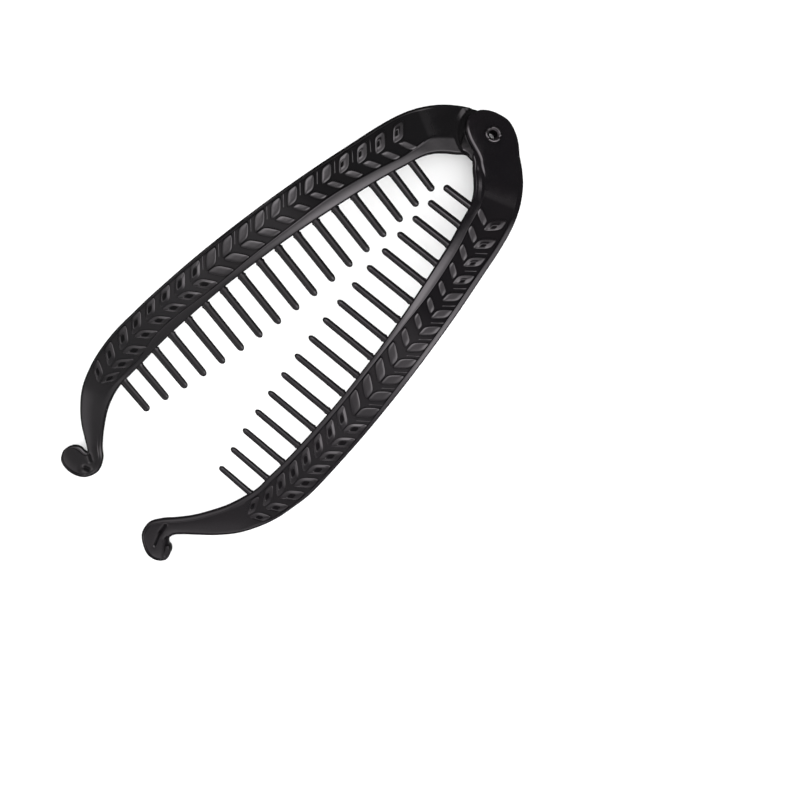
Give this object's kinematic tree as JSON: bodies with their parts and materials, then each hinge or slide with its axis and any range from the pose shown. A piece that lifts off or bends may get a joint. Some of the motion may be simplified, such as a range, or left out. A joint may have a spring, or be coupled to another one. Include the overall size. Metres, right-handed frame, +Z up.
{
  "type": "hair clip",
  "caption": "Arched fish-shaped hair clip: two curved, toothed plastic arms with leaf relief swing on a hollow rivet at one end and latch by hooks at the other.",
  "frame": {"origin": "on the ground, under the middle of the clip's box as it lies half open on its own hinge end and its two hooks", "axes": "+X along the clip from the hinge to the hooks, +Y towards the arm that laps over the other at the hinge, +Z up, the side away from the head"},
  "size_m": [0.1592, 0.0716, 0.0226],
  "materials": {
    "glossy_black_plastic_lower": "injection-moulded, glossy black",
    "glossy_black_plastic_upper": "injection-moulded, glossy black",
    "blackened_metal": "blackened, semi-gloss"
  },
  "bodies": {
    "under_arm": {"under_arm": "glossy_black_plastic_lower", "hinge_rivet": "blackened_metal"},
    "over_arm": {"over_arm": "glossy_black_plastic_upper"}
  },
  "joints": [
    {"name": "arm_hinge", "type": "hinge", "parent": "under_arm", "child": "over_arm", "pos_m": [-0.07293, 0, 0.00396], "axis": [-0.3907, 0, 0.9205], "range_deg": [-11.8, 90]}
  ]
}
